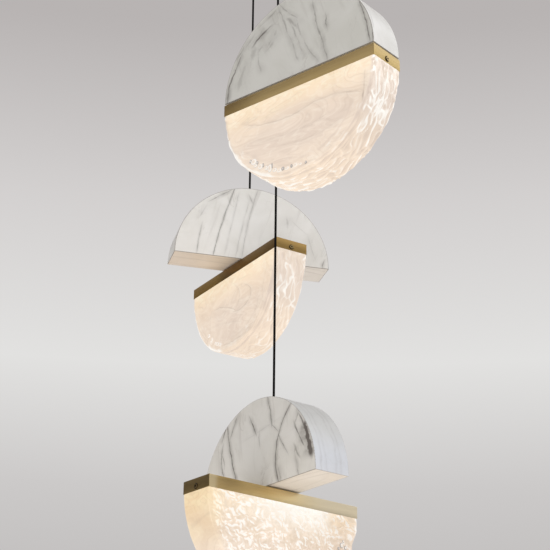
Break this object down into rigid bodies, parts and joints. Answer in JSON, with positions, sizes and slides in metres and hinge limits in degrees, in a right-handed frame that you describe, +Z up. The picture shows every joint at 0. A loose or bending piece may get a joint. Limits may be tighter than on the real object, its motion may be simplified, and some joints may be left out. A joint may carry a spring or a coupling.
{
  "type": "linear pendant light",
  "caption": "Row of half-moon pendant drops under a linear ceiling canopy: bonded marble half above, brass channel and lit cast-glass half below that swivels about its cord.",
  "frame": {"origin": "middle of the ceiling face of the canopy's plate", "axes": "+X along the row of drops, +Z up into the ceiling"},
  "size_m": [0.8585, 0.3034, 1.3885],
  "materials": {
    "marble": "honed, white with grey veins",
    "brass": "satin brushed",
    "cast_glass": "milky, hammered, fire polished",
    "black_cord": "matte round textile sheath",
    "black_nylon": "matte",
    "steel": "zinc plated",
    "aluminium": "plain",
    "light_board": "white solder mask",
    "silicone": "translucent",
    "driver_case": "matte white",
    "white_plastic": "matte white"
  },
  "bodies": {
    "fixture": {"ceiling_plate": "steel", "canopy_cover": "brass", "cover_screws": "brass", "cord_grips": "black_nylon", "grip_nuts": "steel", "led_driver": "driver_case", "terminal_block": "white_plastic", "right_cord": "black_cord", "right_stone_front": "marble", "right_stone_back": "marble", "right_stone_rim": "marble", "right_stone_base": "marble", "right_cord_bush": "black_nylon", "right_cord_anchor": "brass", "right_stem": "steel", "right_stem_nuts": "steel", "right_stem_washers": "black_nylon", "right_support_flange": "steel", "centre_cord": "black_cord", "centre_stone_front": "marble", "centre_stone_back": "marble", "centre_stone_rim": "marble", "centre_stone_base": "marble", "centre_cord_bush": "black_nylon", "centre_cord_anchor": "brass", "centre_stem": "steel", "centre_stem_nuts": "steel", "centre_stem_washers": "black_nylon", "centre_support_flange": "steel", "left_cord": "black_cord", "left_stone_front": "marble", "left_stone_back": "marble", "left_stone_rim": "marble", "left_stone_base": "marble", "left_cord_bush": "black_nylon", "left_cord_anchor": "brass", "left_stem": "steel", "left_stem_nuts": "steel", "left_stem_washers": "black_nylon", "left_support_flange": "steel"},
    "right_glass": {"right_channel": "brass", "right_glass_carrier": "aluminium", "right_led_board": "light_board", "right_bond_strips": "silicone", "right_glass_half": "cast_glass", "right_end_screws": "brass"},
    "centre_glass": {"centre_channel": "brass", "centre_glass_carrier": "aluminium", "centre_led_board": "light_board", "centre_bond_strips": "silicone", "centre_glass_half": "cast_glass", "centre_end_screws": "brass"},
    "left_glass": {"left_channel": "brass", "left_glass_carrier": "aluminium", "left_led_board": "light_board", "left_bond_strips": "silicone", "left_glass_half": "cast_glass", "left_end_screws": "brass"}
  },
  "joints": [
    {"name": "right_swivel", "type": "hinge", "parent": "fixture", "child": "right_glass", "pos_m": [0.285, 0, -0.6325], "axis": [0, 0, 1], "range_deg": [-168, 168]},
    {"name": "centre_swivel", "type": "hinge", "parent": "fixture", "child": "centre_glass", "pos_m": [0, 0, -1.2185], "axis": [0, 0, 1], "range_deg": [-259.8, 76.2]},
    {"name": "left_swivel", "type": "hinge", "parent": "fixture", "child": "left_glass", "pos_m": [-0.285, 0, -0.7025], "axis": [0, 0, 1], "range_deg": [-95.1, 240.9]}
  ]
}
